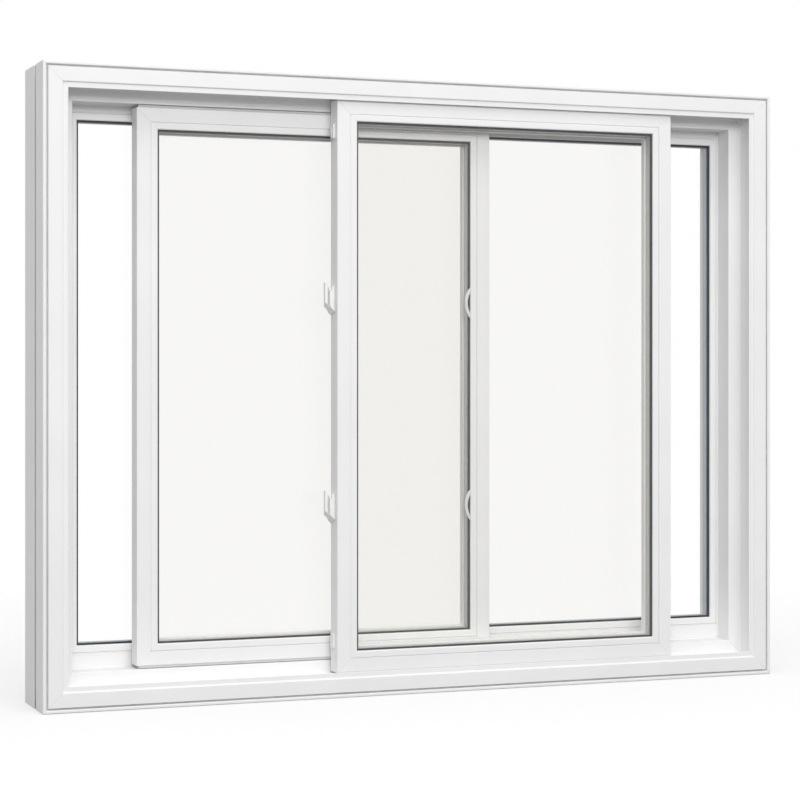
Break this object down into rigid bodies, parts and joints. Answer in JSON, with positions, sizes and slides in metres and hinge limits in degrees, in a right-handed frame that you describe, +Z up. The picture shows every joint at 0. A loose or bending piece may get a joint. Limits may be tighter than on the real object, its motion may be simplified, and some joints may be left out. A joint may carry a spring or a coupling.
{
  "type": "sliding window",
  "caption": "White vinyl horizontal sliding window: a mitred frame with sashes that slide past each other in front of a fixed glazed outer lite.",
  "frame": {"origin": "bottom centre of the frame, midway through its depth", "axes": "+X to the right along the width as seen from the room, +Y from the room to the outdoors, +Z up"},
  "size_m": [1.524, 0.164, 1.2],
  "materials": {
    "frame_vinyl": "satin white extruded vinyl",
    "sash_vinyl": "satin white extruded vinyl",
    "bead_vinyl": "smooth white vinyl glazing bead",
    "moulded_hardware": "moulded white nylon",
    "glide_nylon": "natural nylon",
    "clear_glass": "clear float glass",
    "spacer_bar": "satin metal spacer bar",
    "glazing_seal": "matt dark rubber"
  },
  "bodies": {
    "frame": {"frame_head": "frame_vinyl", "frame_left_jamb": "frame_vinyl", "frame_right_jamb": "frame_vinyl", "frame_sill": "frame_vinyl", "lite_bottom_bead": "bead_vinyl", "lite_bottom_rail": "frame_vinyl", "lite_glass": "clear_glass", "lite_head_packer": "frame_vinyl", "lite_left_bead": "bead_vinyl", "lite_left_stile": "frame_vinyl", "lite_right_bead": "bead_vinyl", "lite_right_stile": "frame_vinyl", "lite_seal": "glazing_seal", "lite_sill_packer": "frame_vinyl", "lite_spacer": "spacer_bar", "lite_top_bead": "bead_vinyl", "lite_top_rail": "frame_vinyl"},
    "left_sash": {"left_sash_bottom_bead": "bead_vinyl", "left_sash_bottom_rail": "sash_vinyl", "left_sash_glass": "clear_glass", "left_sash_glides": "glide_nylon", "left_sash_keepers": "moulded_hardware", "left_sash_left_bead": "bead_vinyl", "left_sash_lock_stile": "sash_vinyl", "left_sash_meeting_stile": "sash_vinyl", "left_sash_right_bead": "bead_vinyl", "left_sash_seal": "glazing_seal", "left_sash_spacer": "spacer_bar", "left_sash_top_bead": "bead_vinyl", "left_sash_top_rail": "sash_vinyl"},
    "right_sash": {"right_sash_bottom_bead": "bead_vinyl", "right_sash_bottom_rail": "sash_vinyl", "right_sash_edge_stops": "moulded_hardware", "right_sash_glass": "clear_glass", "right_sash_glides": "glide_nylon", "right_sash_left_bead": "bead_vinyl", "right_sash_lock_stile": "sash_vinyl", "right_sash_lower_latch": "moulded_hardware", "right_sash_meeting_stile": "sash_vinyl", "right_sash_right_bead": "bead_vinyl", "right_sash_seal": "glazing_seal", "right_sash_spacer": "spacer_bar", "right_sash_top_bead": "bead_vinyl", "right_sash_top_rail": "sash_vinyl", "right_sash_upper_latch": "moulded_hardware"}
  },
  "joints": [
    {"name": "left_sash_slide", "type": "slide", "parent": "frame", "child": "left_sash", "axis": [1, 0, 0], "range_m": [-0.1175, 0.5385]},
    {"name": "right_sash_slide", "type": "slide", "parent": "frame", "child": "right_sash", "axis": [-1, 0, 0], "range_m": [-0.1795, 0.5095]}
  ]
}
